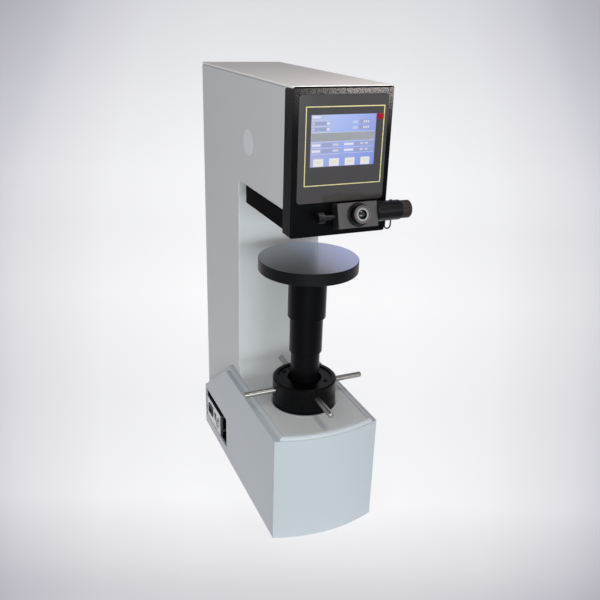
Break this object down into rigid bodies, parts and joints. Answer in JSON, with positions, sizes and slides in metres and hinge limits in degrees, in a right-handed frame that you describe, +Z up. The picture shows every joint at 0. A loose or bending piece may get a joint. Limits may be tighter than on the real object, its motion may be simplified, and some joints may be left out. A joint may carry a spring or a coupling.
{
  "type": "hardness tester",
  "caption": "Bench hardness tester: C-shaped cast frame, flat round anvil on a handwheel-driven elevating screw, loading head with touch panel, indenter turret and micrometer eyepiece.",
  "frame": {"origin": "on the floor under the elevating screw's axis", "axes": "+Z up along the elevating screw, front towards -Y, the pictured flank towards -X"},
  "size_m": [0.27, 0.5835, 0.9],
  "materials": {
    "aluminium": "anodised",
    "belt_rubber": "moulded",
    "black_anodised": "anodised",
    "black_crackle": "textured",
    "black_oxide": "satin",
    "black_plastic": "moulded",
    "board_laminate": "laminate",
    "body_paint": "satin",
    "bright_steel": "bright",
    "bronze": "machined",
    "carbide": "polished",
    "grey_aluminium": "anodised",
    "lens_glass": "polished",
    "panel_film": "satin",
    "red_lens": "gloss",
    "screen_glass": "gloss",
    "shroud_paint": "satin",
    "steel": "machined"
  },
  "bodies": {
    "frame": {"frame_casting": "body_paint", "foot_casting": "body_paint", "base_plate": "steel", "base_shroud": "shroud_paint", "connector_tray": "black_oxide", "connector_panel": "aluminium", "mains_inlet": "black_plastic", "data_socket": "aluminium", "top_lid": "body_paint", "front_bezel": "black_crackle", "overlay_panel": "panel_film", "touch_screen": "screen_glass", "indicator_lens": "red_lens", "head_skirt": "black_oxide", "access_plug": "body_paint", "rear_cover": "body_paint", "rear_cover_screws": "steel", "screw_key": "steel", "thrust_race": "steel", "spindle_bush": "bronze", "guide_rods": "steel", "screw_bearing": "steel", "bearing_bridge": "aluminium", "load_motor": "black_anodised", "timing_belt": "belt_rubber", "turret_pivot": "black_oxide", "prism_housing": "black_anodised", "microscope_tube": "black_anodised", "micrometer_block": "grey_aluminium", "micrometer_sleeve": "black_anodised", "hanging_ring": "bright_steel", "control_board": "board_laminate", "power_supply": "steel"},
    "handwheel": {"handwheel_hub": "black_oxide", "hub_screws": "black_oxide", "handwheel_rods": "bright_steel", "lead_nut": "bronze", "lower_sleeve": "black_oxide"},
    "lift": {"elevating_screw": "steel", "anvil_table": "black_oxide", "top_sleeve": "black_oxide"},
    "sliding_sleeve": {"middle_sleeve": "black_oxide"},
    "load_screw": {"ball_screw": "steel", "screw_pulley": "aluminium"},
    "motor_shaft": {"motor_pulley": "aluminium"},
    "ram": {"main_spindle": "steel", "load_cell": "steel", "crosshead": "aluminium", "ball_nut": "steel"},
    "turret": {"turret_disc": "aluminium", "objective": "black_anodised", "return_spring": "steel"},
    "indenter": {"indenter_holder": "steel", "indenter_ball": "carbide"},
    "micrometer": {"micrometer_drum": "black_anodised"},
    "eyepiece": {"eyepiece_barrel": "black_anodised", "eyepiece_lens": "lens_glass"},
    "dioptre": {"dioptre_ring": "black_anodised"},
    "reticle": {"reticle_knob": "black_anodised"},
    "switch": {"power_rocker": "black_plastic"}
  },
  "joints": [
    {"name": "handwheel_turn", "type": "hinge", "parent": "frame", "child": "handwheel", "pos_m": [0, 0, 0.27], "axis": [0, 0, 1], "range_deg": [-1867.5, 6075]},
    {"name": "table_lift", "type": "slide", "parent": "frame", "child": "lift", "axis": [0, 0, 1], "range_m": [-0.13501, 0.04151]},
    {"name": "sleeve_lift", "type": "slide", "parent": "frame", "child": "sliding_sleeve", "axis": [0, 0, 1], "range_m": [-0.07426, 0.02284]},
    {"name": "load_screw_turn", "type": "hinge", "parent": "frame", "child": "load_screw", "pos_m": [0, 0, 0.86], "axis": [0, 0, 1], "range_deg": [-0.01, 216.01]},
    {"name": "ram_stroke", "type": "slide", "parent": "frame", "child": "ram", "axis": [0, 0, 1], "range_m": [-0.003, 0]},
    {"name": "motor_turn", "type": "hinge", "parent": "frame", "child": "motor_shaft", "pos_m": [0, 0.112, 0.86], "axis": [0, 0, 1], "range_deg": [-0.01, 493.72]},
    {"name": "turret_turn", "type": "hinge", "parent": "frame", "child": "turret", "pos_m": [0, 0.04, 0.665], "axis": [0, 0, 1], "range_deg": [-70, 0]},
    {"name": "indenter_press", "type": "slide", "parent": "turret", "child": "indenter", "axis": [0, 0, 1], "range_m": [-0.003, 0], "deforming": ["return_spring"]},
    {"name": "micrometer_turn", "type": "hinge", "parent": "frame", "child": "micrometer", "pos_m": [0.11, -0.1465, 0.689], "axis": [1, 0, 0], "range_deg": [-1440, 1440]},
    {"name": "eyepiece_slide", "type": "slide", "parent": "frame", "child": "eyepiece", "axis": [1, 0, 0], "range_m": [-0.00401, 0.00401]},
    {"name": "dioptre_turn", "type": "hinge", "parent": "eyepiece", "child": "dioptre", "pos_m": [0.0189, -0.158, 0.6892], "axis": [0, -0.9603, 0.279], "range_deg": [-120, 120]},
    {"name": "reticle_turn", "type": "hinge", "parent": "frame", "child": "reticle", "pos_m": [-0.045, -0.1465, 0.6855], "axis": [1, 0, 0], "range_deg": [-360, 360]},
    {"name": "switch_rock", "type": "hinge", "parent": "frame", "child": "switch", "pos_m": [-0.1085, 0.285, 0.058], "axis": [0, 1, 0], "range_deg": [0, 9]}
  ],
  "couplings": [
    {"joint": "table_lift", "follows": "handwheel_turn", "m_per_rad": -0.0012732},
    {"joint": "sleeve_lift", "follows": "handwheel_turn", "m_per_rad": -0.00070028},
    {"joint": "load_screw_turn", "follows": "ram_stroke", "rad_per_m": -1256.6},
    {"joint": "motor_turn", "follows": "ram_stroke", "rad_per_m": -2872.3},
    {"joint": "indenter_press", "follows": "ram_stroke", "ratio": 1},
    {"joint": "eyepiece_slide", "follows": "micrometer_turn", "m_per_rad": 0.00015915}
  ]
}
